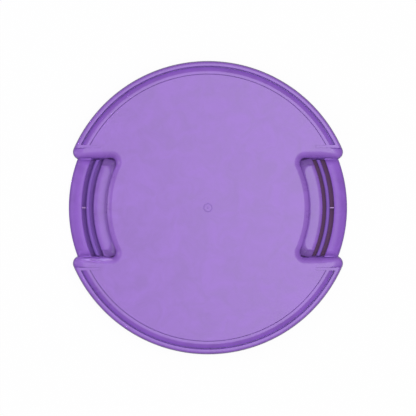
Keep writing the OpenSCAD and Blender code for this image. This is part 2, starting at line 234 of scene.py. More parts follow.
def close_ends(bm):
    """Closes the open ends of a turned band and points all its faces outward."""
    open_edges = [edge for edge in bm.edges if edge.is_boundary]
    bmesh.ops.holes_fill(bm, edges=open_edges, sides=0)
    bmesh.ops.recalc_face_normals(bm, faces=bm.faces[:])


def trim_band(bm, half):
    """Cuts a turned band square at both ends, half its length from the middle, and closes it."""
    cut_at_y(bm, half, clear=1)
    cut_at_y(bm, -half, clear=-1)
    close_ends(bm)


def thickened(bm, wall):
    """A surface as a shell, thickened inward, in a new bmesh."""
    mesh = bpy.data.meshes.new("draft")
    bm.to_mesh(mesh)
    bm.free()
    draft = bpy.data.objects.new("draft", mesh)
    bpy.context.scene.collection.objects.link(draft)
    shell = draft.modifiers.new("Shell", "SOLIDIFY")
    shell.thickness = wall
    shell.offset = -1
    bpy.context.view_layer.update()
    shaped = bmesh.new()
    shaped.from_object(draft, bpy.context.evaluated_depsgraph_get())
    bpy.data.objects.remove(draft)
    bpy.data.meshes.remove(mesh)
    return shaped


def piece(name, bm, material, *nodes):
    """Makes a finished piece of a bmesh; it stands for the named nodes of the frame."""
    mesh = bpy.data.meshes.new(name)
    bm.to_mesh(mesh)
    bm.free()
    mesh.materials.append(material)
    mesh.shade_smooth()
    mesh.set_sharp_from_angle(angle=SHARP_FROM)
    made = bpy.data.objects.new(name, mesh)
    bpy.context.scene.collection.objects.link(made)
    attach(made, BODY)
    if nodes:
        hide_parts(*nodes)


def mirrored_copy(bm, axis):
    """A copy of a closed bmesh, mirrored in the plane across an axis, with its faces outward."""
    copy = bm.copy()
    scale = Vector([-1 if a == axis else 1 for a in "XYZ"])
    bmesh.ops.scale(copy, vec=scale, verts=copy.verts[:])
    bmesh.ops.reverse_faces(copy, faces=copy.faces[:])
    return copy


def both_sides(bm, name, material, node=None):
    """Makes a piece of the right-hand well, and its mirror image for the left-hand one."""
    for side, shape in (("right", bm), ("left", mirrored_copy(bm, "X"))):
        piece(f"{side}_{name}", shape, material, *([f"{side}_{node}"] if node else []))


# ---------------------------------------------------------------- plan of the wells

def angle_of(place):
    """Direction in plan of a place, seen from the middle of the board."""
    return atan2(place.y, place.x)


def horn_centre():
    """Centre in plan of the rounding of the horn behind the right-hand well."""
    s = sizes()
    y = WELL_HALF + s.horn_r
    return Vector((sqrt((BOARD_R - s.horn_r) ** 2 - y * y), y))


def corner_centre():
    """Centre in plan of the rounding of the right-hand well's rear corner."""
    s = sizes()
    y = WELL_HALF - s.corner_r
    return Vector((sqrt((BOARD_R - s.well_w + s.corner_r) ** 2 - y * y), y))


def in_corner(place):
    """True in the part of a well where its wall runs round the corner."""
    corner = corner_centre()
    x, y = place.x, abs(place.y)
    return x < corner.x and y * corner.x > x * corner.y


def wall_y(x):
    """Where the end wall stands at x: straight along the well, then round the horn."""
    horn = horn_centre()
    if x < horn.x:
        return WELL_HALF
    return horn.y - sqrt(max(0, sizes().horn_r ** 2 - (x - horn.x) ** 2))


def back_share(place):
    """0 on a well's end walls and horns, 1 on its curved wall, between them round its corner."""
    corner = corner_centre()
    x, y = abs(place.x), abs(place.y)
    corner_a = angle_of(corner)
    if y > WELL_HALF - SNAP:
        return 0
    if atan2(y, x) <= corner_a:
        return 1
    return (atan2(y - corner.y, x - corner.x) % (2 * pi) - pi / 2) / (pi / 2 + corner_a)


def lip_width(place):
    """Width of the deck's rounding at a point of a well's or a horn's outline."""
    s = sizes()
    horn = horn_centre()
    x, y = abs(place.x), abs(place.y)
    horn_a = angle_of(horn)
    horn_lip = min(s.lip_r, 0.82 * s.horn_r)
    plain, widening = 4 * MM, 0.12  # the lip widens along the end wall, past a plain stretch
    if x > horn.x:
        share = max(0, horn_a - atan2(y - horn.y, x - horn.x)) / (horn_a + pi / 2)
        return s.edge_r + (horn_lip - s.edge_r) * share
    share = back_share(place)
    if share:
        return s.lip_r + (s.back_lip_r - s.lip_r) * share
    return min(s.lip_r, horn_lip + widening * max(0, horn.x - x - plain))


# ---------------------------------------------------------------- finishes

def add_node(nodes, kind, sockets=None, **settings):
    """A new shader node, with settings of its own and then the values of its input sockets."""
    node = nodes.new("ShaderNode" + kind)
    for key, value in settings.items():
        setattr(node, key, value)
    for socket, value in (sockets or {}).items():
        node.inputs[socket].default_value = value
    return node


def join(links, *joints):
    """Links nodes. A joint is a node, its output, the node that reads it and its input."""
    for source, output, reader, socket in joints:
        links.new(source.outputs[output], reader.inputs[socket])


def paint(colour, strength=1):
    """A colour for a node's socket, made lighter or darker."""
    return (*(strength * part for part in colour), 1)


def grain_group():
    """Clouds, fine grain and drawn streaks of moulded polyethylene, shared by the finishes."""
    found = bpy.data.node_groups.get("moulded_grain")
    if found:
        return found
    group = bpy.data.node_groups.new("moulded_grain", "ShaderNodeTree")
    for name, default in (("Cloud Scale", 32.0), ("Grain Scale", 900.0)):
        socket = group.interface.new_socket(name=name, in_out="INPUT", socket_type="NodeSocketFloat")
        socket.default_value = default
    for name in ("Clouds", "Grain", "Scuffs", "Steepness"):
        group.interface.new_socket(name=name, in_out="OUTPUT", socket_type="NodeSocketFloat")
    nodes = group.nodes
    inputs = nodes.new("NodeGroupInput")
    outputs = nodes.new("NodeGroupOutput")
    coordinates = add_node(nodes, "TexCoord")
    clouds = add_node(nodes, "TexNoise", {"Detail": 5, "Roughness": 0.6, "Distortion": 0.8})
    grain = add_node(nodes, "TexNoise", {"Detail": 3, "Roughness": 0.55})
    streaks = add_node(nodes, "Mapping", {"Scale": (26, 190, 60), "Rotation": (0, 0, radians(35))})
    scuffs = add_node(nodes, "TexNoise", {"Scale": 1.0, "Detail": 4})
    strongest = add_node(nodes, "MapRange", {"From Min": 0.52, "From Max": 0.78})
    height = add_node(nodes, "SeparateXYZ")
    steepness = add_node(nodes, "MapRange", {"From Min": 0.995, "From Max": 0.9})
    join(group.links,
         (coordinates, "Normal", height, "Vector"),
         (height, "Z", steepness, "Value"),
         (steepness, "Result", outputs, "Steepness"),
         (coordinates, "Object", clouds, "Vector"),
         (inputs, "Cloud Scale", clouds, "Scale"),
         (coordinates, "Object", grain, "Vector"),
         (inputs, "Grain Scale", grain, "Scale"),
         (coordinates, "Object", streaks, "Vector"),
         (streaks, "Vector", scuffs, "Vector"),
         (scuffs, "Fac", strongest, "Value"),
         (clouds, "Fac", outputs, "Clouds"),
         (grain, "Fac", outputs, "Grain"),
         (strongest, "Result", outputs, "Scuffs"))
    return group


def moulded_plastic(name, colour, roughness=0.33, spread=0.03, polish=0.04,
                    grain_depth=0.03 * MM, grain_scale=1200, shine=0.5):
    """Satin purple polyethylene; spread is how far its roughness wanders, polish how much
    smoother its lips and walls are than its flats."""
    found = bpy.data.materials.get(name)
    if found:
        return found
    material = bpy.data.materials.new(name)
    material.use_nodes = True
    nodes = material.node_tree.nodes
    shader = nodes["Principled BSDF"]
    shader.inputs["IOR"].default_value = 1.51
    shader.inputs["Specular IOR Level"].default_value = shine
    grain = nodes.new("ShaderNodeGroup")
    grain.node_tree = grain_group()
    grain.inputs["Grain Scale"].default_value = grain_scale
    mottle = add_node(nodes, "MapRange", {"From Min": 0.35, "From Max": 0.65})
    tint = add_node(nodes, "Mix", {"A": paint(colour, 0.96), "B": paint(colour, 1.12)},
                    data_type="RGBA")
    # painted shade: where a piece carries the shade mask made by the ledges, the colour darkens
    # toward 0.4 of itself, for the shade in the hollows by the end walls
    painted_foot_shade = add_node(nodes, "Attribute", attribute_name="painted_foot_shade")
    foot_shade_painted = add_node(nodes, "Mix", {"B": paint(colour, 0.4)}, data_type="RGBA")
    rough = add_node(nodes, "MapRange", {"From Min": 0.3, "From Max": 0.7,
                                         "To Min": roughness - spread,
                                         "To Max": roughness + spread})
    smoother = add_node(nodes, "Math", {1: -polish}, operation="MULTIPLY_ADD")
    rubbed = add_node(nodes, "Math", {1: spread}, operation="MULTIPLY_ADD")
    bump = add_node(nodes, "Bump", {"Strength": 0.35, "Distance": grain_depth})
    join(material.node_tree.links,
         (grain, "Clouds", mottle, "Value"),
         (mottle, "Result", tint, "Factor"),
         (tint, "Result", foot_shade_painted, "A"),
         (painted_foot_shade, "Fac", foot_shade_painted, "Factor"),
         (foot_shade_painted, "Result", shader, "Base Color"),
         (grain, "Clouds", rough, "Value"),
         (grain, "Steepness", smoother, 0),
         (rough, "Result", smoother, 2),
         (grain, "Scuffs", rubbed, 0),
         (smoother, "Value", rubbed, 2),
         (rubbed, "Value", shader, "Roughness"),
         (grain, "Grain", bump, "Height"),
         (bump, "Normal", shader, "Normal"))
    return material


def deck_finish():
    return moulded_plastic("deck_satin", colours().moulding, polish=0.05, grain_depth=0.05 * MM,
                           grain_scale=900)


def trim_finish():
    return moulded_plastic("rim_satin", colours().moulding)


def grip_finish():
    return moulded_plastic("grip_satin", colours().grip, roughness=0.4, shine=0.25)


def hidden_finish():
    # its darker colour is painted shade for the rings, crown and ribs deep in the wells
    return moulded_plastic("underside_matt_painted_shade", colours().groove, roughness=0.68, spread=0.05,
                           polish=0.1, grain_depth=0.06 * MM, grain_scale=700)


def web_finish():
    # its paler colour is a painted highlight on the webs' tops
    return moulded_plastic("web_painted_highlight", colours().web, roughness=0.35)


# ---------------------------------------------------------------- the pieces

class BOARD_OT_deck(bpy.types.Operator):
    """Models the deck, the lips and walls of both wells, the horns and the centre mark"""

    bl_idname = "board.deck"
    bl_label = "Deck and Wells"

    def execute(self, context):
        bm = bmesh.new()
        self.draw_outline(bm)
        top = bmesh.ops.contextual_create(bm, geom=bm.edges[:])["faces"][0]
        if top.normal.z < 0:
            top.normal_flip()
        self.roll_edges(bm, top)
        self.fit_centre_mark(bm, top)
        bm = thickened(bm, sizes().wall)
        for vert in bm.verts:
            vert.co.z = max(0, vert.co.z)
        piece("deck_skin", bm, deck_finish(), "deck", "left_well", "right_well")
        return {"FINISHED"}

    def draw_outline(self, bm):
        """A quarter of the plan from the rear round to the right, mirrored into the whole."""
        s = sizes()
        edge = s.seam_r - s.seam_gap
        horn, corner = horn_centre(), corner_centre()
        horn_a, corner_a = angle_of(horn), angle_of(corner)
        near, far = RIM_Y - s.witness_gap, RIM_Y + s.tongue_w + s.witness_gap
        root = sqrt(s.seam_r ** 2 - RIM_Y ** 2)
        inner = root - s.tongue_l - s.witness_gap
        vert = bm.verts.new((0, edge, DECK_Z))
        vert = arc_by(bm, vert, (0, 0), asin(far / edge) - pi / 2, SEAM_STEPS)
        vert = line_to(bm, vert, inner, far)
        vert = line_to(bm, vert, inner, near)
        vert = line_to(bm, vert, root + OPENING_FROM, near)
        vert = line_to(bm, vert, root + OPENING_TO, HORN_Y)
        vert = line_to(bm, vert, sqrt(BOARD_R ** 2 - HORN_Y ** 2), HORN_Y)
        vert = line_to(bm, vert, BOARD_R * cos(horn_a), BOARD_R * sin(horn_a))
        vert = arc_by(bm, vert, horn, -pi / 2 - horn_a, HORN_STEPS)
        vert = line_to(bm, vert, corner.x, WELL_HALF, steps=WALL_STEPS)
        vert = arc_by(bm, vert, corner, pi / 2 + corner_a, CORNER_STEPS)
        arc_by(bm, vert, (0, 0), -corner_a, BACK_STEPS)
        bmesh.ops.remove_doubles(bm, verts=bm.verts, dist=SNAP)
        mirror_plan(bm, "X")
        mirror_plan(bm, "Y")

    def roll_edges(self, bm, top):
        """Rolls the edge of the top over its rounding, ring by ring, and drops it to its foot."""
        s = sizes()
        corner = bm.verts.layers.float_vector.new("corner")
        inset = bm.verts.layers.float_vector.new("inset")
        drop = bm.verts.layers.float.new("drop")
        flat = bm.verts.layers.float.new("flat")
        foot = bm.verts.layers.float_vector.new("foot")
        for loop in top.loops:
            vert = loop.vert
            vert[inset], width = self.mitre(loop)
            share = back_share(vert.co) if abs(vert.co.y) < WELL_HALF else 0
            vert[drop] = width * (1 + (s.back_lip_drop - 1) * share)
            vert[flat] = 1 + (s.back_lip_flat - 1) * share
            vert[corner] = vert.co - self.lean(vert.co, -vert[inset].normalized())
            self.slope_horn(vert, corner, inset, drop, flat)
            vert[foot] = (vert.co.x, vert.co.y, self.foot_z(vert.co))
        ring = top.edges[:]
        turns = [pi / 2 * (1 - step / s.round_steps) for step in range(s.round_steps + 1)]
        margin = 0.4 * MM  # a flat strip inside the rounding
        for vert in top.verts:
            vert.co = vert[corner] + vert[inset] + margin * vert[inset].normalized()
        for turn in turns:
            ring = self.draw_down(bm, ring, lambda vert: (
                vert[corner] + vert[inset] * (1 - abs(cos(turn)) ** vert[flat])
                - Vector((0, 0, vert[drop] * (1 - sin(turn) ** vert[flat])))))
        self.draw_down(bm, ring, lambda vert: vert[foot])
        bmesh.ops.remove_doubles(bm, verts=bm.verts, dist=2 * HAIR)

    def slope_horn(self, vert, corner, inset, drop, flat):
        """Aims the rounding round a horn at a point well inside it, so that its end slopes."""
        s = sizes()
        horn = horn_centre()
        horn_a = angle_of(horn)
        run = 18 * MM     # stretch of end wall along which the slope begins
        aim_r = 0.5 * MM  # the points aimed at stand on a small circle
        sx, sy = (1 if vert.co.x > 0 else -1), (1 if vert.co.y > 0 else -1)
        x, y = vert.co.x * sx, vert.co.y * sy
        if WELL_HALF - SNAP < y < HORN_Y + SNAP and horn.x - run < x <= horn.x:
            if y < horn.y:
                vert[inset].x -= sx * self.slope_shift() * (1 - (horn.x - x) / run)
        elif x > horn.x and (y < HORN_Y - SNAP or hypot(x, y) > BOARD_R - NEAR):
            turn = max(-pi / 2, min(atan2(y - horn.y, x - horn.x), horn_a))
            share = (turn + pi / 2) / (horn_a + pi / 2)
            aim = Vector((horn.x - self.slope_shift() - aim_r + aim_r * cos(turn),
                          WELL_HALF + s.wall_draft + lip_width(Vector((horn.x, WELL_HALF))), 0))
            aim.y += (HORN_Y - 1.2 * MM - aim.y) * share ** 2
            if y > HORN_Y - SNAP:
                root = sqrt(s.seam_r ** 2 - RIM_Y ** 2)
                aim = Vector((root + OPENING_TO + 0.8 * MM, HORN_Y - s.seam_bevel, 0))
            vert[inset] = (sx * aim.x - vert[corner].x, sy * aim.y - vert[corner].y, 0)
            vert[drop] += (s.horn_drop - vert[drop]) * share
            vert[flat] = 1 + 0.4 * share

    def slope_shift(self):
        """How far inside the horn's centre its slope begins."""
        s = sizes()
        return s.horn_slope_w - (BOARD_R - s.draft - hypot(horn_centre().x, horn_centre().y))

    def draw_down(self, bm, ring, place):
        """Extrudes a ring of edges and sets each new point to its place; gives the new ring."""
        drawn = bmesh.ops.extrude_edge_only(bm, edges=ring)["geom"]
        for vert in only(BMVert, drawn):
            vert.co = place(vert)
        return [edge for edge in only(BMEdge, drawn) if edge.is_boundary]

    def mitre(self, loop):
        """How far the rounding at a corner of the top runs inward in plan, and its depth."""
        here = loop.vert.co.xy
        along = [(here - loop.link_loop_prev.vert.co.xy).normalized(),
                 (loop.link_loop_next.vert.co.xy - here).normalized()]
        (ax, ay), (bx, by) = [(-way.y, way.x) for way in along]
        wide = [self.edge_rounding(edge, here) for edge in (loop.link_loop_prev.edge, loop.edge)]
        smooth_turn = radians(14)  # a sharper turn of the outline is a corner
        if along[0].dot(along[1]) > cos(smooth_turn):
            wide = [sum(wide) / 2] * 2
            middle = Vector((ax + bx, ay + by)).normalized()
            return (*(middle * wide[0] / middle.dot(Vector((ax, ay)))), 0), wide[0]
        across = ax * by - ay * bx
        return ((wide[0] * by - wide[1] * ay) / across, (wide[1] * ax - wide[0] * bx) / across,
                0), max(wide)

    def edge_rounding(self, edge, here):
        """Width of the rounding along an edge of the top, at one of its ends."""
        middle = (edge.verts[0].co + edge.verts[1].co) / 2
        if abs(middle.y) > HORN_Y - SNAP:
            return self.seam_rounding(middle)
        return lip_width(here)

    def seam_rounding(self, place):
        """Rounding of a top edge on the rims' side: fine by a tongue."""
        s = sizes()
        radius = hypot(place.x, place.y)
        far = RIM_Y + s.tongue_w + s.seam_gap
        if radius < s.seam_r - 1.1 * s.seam_gap and abs(place.y) < far:
            return s.witness_gap
        return s.seam_bevel

    def lean(self, place, out):
        """How far a point of the top outline stands back from the foot of its drafted wall."""
        s = sizes()
        band_w = 8 * MM  # the walls round the horns lean as the skirt does, this far in
        fade = 3 * MM    # and the lean across the rims' ends dies out over this
        if abs(place.y) > HORN_Y - SNAP:
            at_end = hypot(place.x, place.y) > BOARD_R - NEAR
            return Vector((s.draft * place.x / abs(place.x), 0, 0)) if at_end else Vector()
        side = 1 if place.y > 0 else -1
        radial = Vector((place.x, place.y, 0)).normalized()
        outer = s.draft if place.xy.length > GRIP_OUT_R - band_w else 0
        back = (outer * max(0, out.dot(radial)) ** 2
                + s.wall_draft * max(0, -out.y * side) ** 2) * out
        back.y *= min(1, (HORN_Y - abs(place.y)) / fade)
        return back

    def foot_z(self, place):
        """The seam's edge ends under the plate, a well's wall on its seat, a horn on the ground."""
        radius = hypot(place.x, place.y)
        by_rim = abs(place.y) > HORN_Y - SNAP and radius < BOARD_R - NEAR
        if radius > GRIP_OUT_R and not by_rim:
            return 0
        if abs(place.y) > WELL_HALF + sizes().horn_r:
            return DECK_Z - sizes().wall
        return SEAT_Z

    def fit_centre_mark(self, bm, top):
        """Lays the round centre mark in the middle of the top."""
        s = sizes()
        outline = top.edges[:]
        bmesh.ops.delete(bm, geom=[top], context="FACES_ONLY")
        disc = bmesh.ops.create_circle(bm, cap_ends=True, segments=64,
                                       radius=s.mark_d / 2 + s.mark_w / 2,
                                       matrix=Matrix.Translation((0, 0, DECK_Z)))
        face = disc["verts"][0].link_faces[0]
        if face.normal.z < 0:
            face.normal_flip()
        filled = bmesh.ops.triangle_fill(bm, edges=outline + face.edges[:], use_beauty=True,
                                         normal=(0, 0, 1))
        slant = 0.3 * MM
        floor = s.mark_w - 2 * slant
        middle = (s.mark_d - s.mark_w) / 2 - s.pip_d / 2
        for width, drop in ((slant, s.mark_depth), (floor, 0), (slant, -s.mark_depth),
                            (middle - slant, 0), (slant, s.mark_depth)):
            bmesh.ops.inset_region(bm, faces=[face], thickness=width, use_even_offset=True)
            bmesh.ops.translate(bm, verts=face.verts[:], vec=(0, 0, -drop))
        around = only(BMFace, filled["geom"])
        bmesh.ops.recalc_face_normals(bm, faces=around)
        for made in around:
            if made.normal.z < 0:
                made.normal_flip()


class BOARD_OT_rims(bpy.types.Operator):
    """Models both rims: skirt, head with its V channel, shelf, and a tongue at each end"""

    bl_idname = "board.rims"
    bl_label = "Rims"

    def execute(self, context):
        bm = bmesh.new()
        self.turn_profile(bm)
        self.stop_channel(bm)
        self.draw_out_tongues(bm)
        loose = [e for e in bm.edges if not e.link_faces]
        bmesh.ops.delete(bm, geom=loose, context="EDGES")
        front = mirrored_copy(bm, "Y")
        piece("rear_rim_skin", bm, trim_finish(), "rear_rim")
        piece("front_rim_skin", front, trim_finish(), "front_rim")
        return {"FINISHED"}

    def channel(self):
        """Radii of the channel's corners and the height of its floor."""
        s = sizes()
        slope_in = s.seam_r + s.land_w
        floor_in = slope_in + s.channel_run
        floor_out = floor_in + s.channel_floor
        return slope_in, floor_in, floor_out, floor_out + s.channel_lean, DECK_Z - s.channel_depth

    def turn_profile(self, bm):
        """Turns the rear rim's section about the middle of the board and cuts its ends square."""
        s = sizes()
        slope_in, floor_in, floor_out, rise_out, floor_z = self.channel()
        low = DECK_Z - s.wall
        crease_z = floor_z - s.crease_depth
        head_low = crease_z - s.wall
        land_r, rise_r, foot_r, floor_r = 0.8 * MM, 0.7 * MM, 0.5 * MM, 0.2 * MM
        corners = [
            (s.seam_r - s.shelf_w, low - s.wall, 0), (s.seam_r - s.shelf_w, low, 0),
            (s.seam_r, low, 0), (s.seam_r, DECK_Z, s.seam_bevel),
            (slope_in, DECK_Z, land_r), (floor_in, floor_z, floor_r),
            (floor_in, crease_z, 0), (floor_out, crease_z, 0),
            (floor_out, floor_z, 0), (rise_out, DECK_Z, rise_r),
            (BOARD_R - s.draft, DECK_Z, s.edge_r), (BOARD_R, 0, foot_r),
            (BOARD_R - s.wall, 0, foot_r), (BOARD_R - s.wall - s.draft, head_low, 0),
            (floor_in - s.wall / 2, head_low, 0),
            (floor_in - s.wall / 2 - s.channel_run / 2, low - s.wall, 0)]
        start = asin(RIM_Y / BOARD_R) - radians(2)
        revolve(bm, corners, start, pi - 2 * start, RIM_STEPS)
        cut_at_y(bm, RIM_Y, clear=-1)
        close_ends(bm)
        self.meet_horns(bm)

    def meet_horns(self, bm):
        """Below a fine open line, each end of the rim reaches the horn beside it."""
        line_z = DECK_Z - 1.5 * MM
        ends = self.end_faces(bm, DECK_Z)
        edges = {edge for face in ends for edge in face.edges}
        verts = {vert for face in ends for vert in face.verts}
        bmesh.ops.bisect_plane(bm, geom=[*ends, *edges, *verts], dist=HAIR,
                               plane_no=(0, 0, 1), plane_co=(0, 0, line_z))
        low = self.end_faces(bm, line_z)
        drawn = bmesh.ops.extrude_face_region(bm, geom=low)
        bmesh.ops.delete(bm, geom=low, context="FACES_ONLY")
        bmesh.ops.translate(bm, verts=only(BMVert, drawn["geom"]), vec=(0, HORN_Y - RIM_Y, 0))

    def end_faces(self, bm, top_z):
        """The flat faces at the rim's two ends whose middles are below top_z."""
        middles = [(face, face.calc_center_median()) for face in bm.faces if face.normal.y < -0.9]
        return [face for face, middle in middles if middle.y < RIM_Y + SNAP and middle.z < top_z]

    def stop_channel(self, bm):
        """Fills the channel level with the land, past a steep stop near each end of the rim."""
        s = sizes()
        slope_in, _, _, rise_out, floor_z = self.channel()
        stop_y = RIM_Y + s.channel_stop
        run, edge = 0.5 * MM, 1 * MM  # length of the stop's slope, and the channel's rounded edges
        cut_at_y(bm, stop_y)
        cut_at_y(bm, stop_y - run)
        for vert in bm.verts:
            radius = hypot(vert.co.x, vert.co.y)
            if (RIM_Y - SNAP < vert.co.y < stop_y - 0.4 * run
                    and floor_z - s.crease_depth - NEAR < vert.co.z
                    and slope_in - edge < radius < rise_out + edge):
                vert.co.z = DECK_Z

    def draw_out_tongues(self, bm):
        """Draws the seam's edge inward between two cuts, flush with the deck."""
        s = sizes()
        far = RIM_Y + s.tongue_w
        inner = sqrt(s.seam_r ** 2 - RIM_Y ** 2) - s.tongue_l
        cut_at_y(bm, far)
        for side in (-1, 1):
            root = [f for f in bm.faces if self.at_tongue(f.calc_center_median(), side, far)]
            drawn = bmesh.ops.extrude_face_region(bm, geom=root)
            bmesh.ops.delete(bm, geom=root, context="FACES_ONLY")
            for vert in only(BMVert, drawn["geom"]):
                vert.co.x = side * inner

    def at_tongue(self, place, side, far):
        """True on the part of the seam's edge that a tongue is drawn out of."""
        s = sizes()
        radius = hypot(place.x, place.y)
        return (RIM_Y + SNAP < place.y < far and place.x * side > 0 and place.z > DECK_Z - s.wall
                and s.seam_r - NEAR < radius < s.seam_r + s.seam_bevel)


class BOARD_OT_ledges(bpy.types.Operator):
    """Models the flat floors of the wells, with hollow roundings up to the walls"""

    bl_idname = "board.ledges"
    bl_label = "Ledges"

    def execute(self, context):
        bm = bmesh.new()
        self.turn_floor(bm)
        self.shape_foot(bm)
        both_sides(bm, "ledge_skin", deck_finish(), "ledge")
        return {"FINISHED"}

    def turn_floor(self, bm):
        """A turned band from inside the curved wall to the slot, cut square in the end walls."""
        s = sizes()
        floor_z = SEAT_Z + s.wall
        back, edge = BOARD_R - s.well_w, LEDGE_R + s.slot_lap
        steps = 8
        turns = [pi / 2 * step / steps for step in range(steps + 1)]
        by_wall = [back + 0.8 * s.foot_r * (1 - cos(turn)) for turn in turns]
        by_slot = [edge - s.slot_edge_r * (1 - sin(turn)) for turn in turns]
        corners = [(back, SEAT_Z, 0), *((radius, floor_z, 0) for radius in by_wall + by_slot),
                   (edge, SEAT_Z, 0)]
        half = WELL_HALF + s.wall_draft
        end = asin(half / back) + radians(1)
        revolve(bm, corners, -end, 2 * end, LEDGE_STEPS)
        trim_band(bm, half)

    def grow(self, way):
        """How far the floor runs into a wall that stands in this direction in plan."""
        return sizes().wall_draft * way.y ** 2

    def shape_foot(self, bm):
        """Rounds the band's corners in plan, hollows it up to the walls, rounds its slot edge, and
        marks the painted shade in the hollows by the end walls.
        """
        s = sizes()
        half = WELL_HALF + s.wall_draft
        steps = 10
        for step in range(1, steps + 1):
            away = s.foot_r * (1 - cos(pi / 2 * step / steps))
            cut_at_y(bm, half - away)
            cut_at_y(bm, away - half)
        corner = corner_centre()
        for vert in bm.verts:
            side = 1 if vert.co.y > 0 else -1
            out = Vector((vert.co.x - corner.x, side * vert.co.y - corner.y))
            reach = s.corner_r + self.grow(out.normalized())
            if in_corner(vert.co) and out.length > reach:
                out.length = reach
                vert.co.x, vert.co.y = corner.x + out.x, side * (corner.y + out.y)
        # painted shade: a mask that grows toward the feet of the end walls, where shade falls in the
        # hollows
        painted_foot_shade = bm.verts.layers.float.new("painted_foot_shade")  # read by the finish, which darkens there
        slant = 0.35  # share of the rise that is a straight slope, the rest being round
        for vert in bm.verts:
            if vert.co.z > SEAT_Z + NEAR:
                near, high, end = self.hollow(vert.co)
                lift = slant * near + (1 - slant) * (1 - sqrt(1 - near ** 2))
                # painted shade, strongest at the foot of each end wall
                vert[painted_foot_shade] = end * (0.42 * min(1, 5 * near) + 0.2 * near)
                vert.co.z += high * lift - self.rounding(vert.co)

    def hollow(self, place):
        """Nearness to the foot of a wall, the height of its hollow, and 1 beside an end wall."""
        s = sizes()
        corner = corner_centre()
        x, y = place.x, abs(place.y)
        away = min(WELL_HALF + s.wall_draft - y, hypot(x, y) - (BOARD_R - s.well_w))
        if in_corner(place):
            out = Vector((x - corner.x, y - corner.y))
            away = s.corner_r + self.grow(out.normalized()) - out.length
        plain = 13 / 18  # of the way from the middle to the corner, the foot stays small
        share = min(1, max(0, (y / corner.y - plain) / (1 - plain))) ** 2
        foot = s.back_foot_r + (s.foot_r - s.back_foot_r) * share
        high = s.back_foot_r + (s.foot_h - s.back_foot_r) * share
        return max(0, 1 - max(0, away) / foot), high, share

    def rounding(self, place):
        """How far the floor falls away at a place beside the slot."""
        s = sizes()
        away = max(0, LEDGE_R + s.slot_lap - hypot(place.x, place.y))
        share = max(0, 1 - away / s.slot_edge_r)
        return s.slot_edge_drop * (1 - (1 - share ** 1.5) ** (2 / 3))


class BOARD_OT_grips(bpy.types.Operator):
    """Models the crowned grip bands, which sweep up to the horns at both ends"""

    bl_idname = "board.grips"
    bl_label = "Grips"

    def execute(self, context):
        bm = bmesh.new()
        s = sizes()
        inner = GRIP_OUT_R - s.grip_w
        high = SEAT_Z + s.wall + s.grip_rise
        low = high - s.grip_fall
        crown_r, foot_r, hollow_r = 5 * MM, 0.6 * MM, 1 * MM
        corners = [
            (inner, SEAT_Z, 0), (inner, high - s.grip_crown, s.grip_inner_r),
            (inner + 0.4 * s.grip_w, high, crown_r),
            (GRIP_OUT_R, low - 0.4 * MM, s.grip_outer_r),
            (GRIP_OUT_R, GRIP_FOOT_Z, foot_r), (GRIP_OUT_R - s.wall, GRIP_FOOT_Z, foot_r),
            (GRIP_OUT_R - s.wall, low - s.wall - hollow_r, hollow_r),
            (inner + s.wall, low - s.wall + hollow_r, hollow_r), (inner + s.wall, SEAT_Z, 0)]
        end = asin((WELL_HALF + s.horn_r) / inner)
        revolve(bm, corners, -end, 2 * end, GRIP_STEPS, segments=8)
        trim_band(bm, WELL_HALF + 0.7 * s.wall)
        self.sweep_ends_up(bm, low - s.wall)
        both_sides(bm, "grip_skin", grip_finish(), "grip")
        return {"FINISHED"}

    def sweep_ends_up(self, bm, under_z):
        """Lifts the top of the band along a hollow rounding towards each end wall."""
        s = sizes()
        inner = GRIP_OUT_R - s.grip_w
        steepest = radians(80)
        for vert in bm.verts:
            radius = hypot(vert.co.x, vert.co.y)
            on_top = vert.co.z > under_z + NEAR or radius < inner + NEAR
            if vert.co.z <= SEAT_Z + NEAR or not on_top:
                continue
            reach = s.sweep_r - (wall_y(vert.co.x) - abs(vert.co.y))
            if reach > 0:
                reach = min(reach, s.sweep_r * sin(steepest))
                vert.co.z += s.sweep_r - sqrt(s.sweep_r ** 2 - reach ** 2)


class BOARD_OT_underside(bpy.types.Operator):
    """Crowns the ring between the slots and finishes the rings, webs and ribs of the frame"""

    bl_idname = "board.underside"
    bl_label = "Rings and Ribs"

    def execute(self, context):
        bm = bmesh.new()
        s = sizes()
        outer = GRIP_OUT_R - s.grip_w - s.slot_w + NEAR
        inner = outer - s.ring_w - 2 * NEAR
        top = SEAT_Z + s.wall + s.ring_rise
        skirt = 1.8 * MM  # how far the crown reaches down beside the ring
        soft = 0.48 * (outer - inner)
        corners = [(inner, top - skirt, 0), (inner, top + s.ring_crown, soft),
                   (outer, top + s.ring_crown, soft), (outer, top - skirt, 0)]
        end = asin(WELL_HALF / inner) + radians(1)
        revolve(bm, corners, -end, 2 * end, CROWN_STEPS)
        trim_band(bm, WELL_HALF)
        both_sides(bm, "ring_crown", hidden_finish())
        for name in ("inner_ring", "middle_ring", "outer_ring", "groove_webs", "radial_ribs",
                     "hub_ring", "half_ring"):
            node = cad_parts[name]
            node.data.materials.clear()
            node.data.materials.append(web_finish() if name == "groove_webs" else hidden_finish())
        return {"FINISHED"}


# ---------------------------------------------------------------- the studio

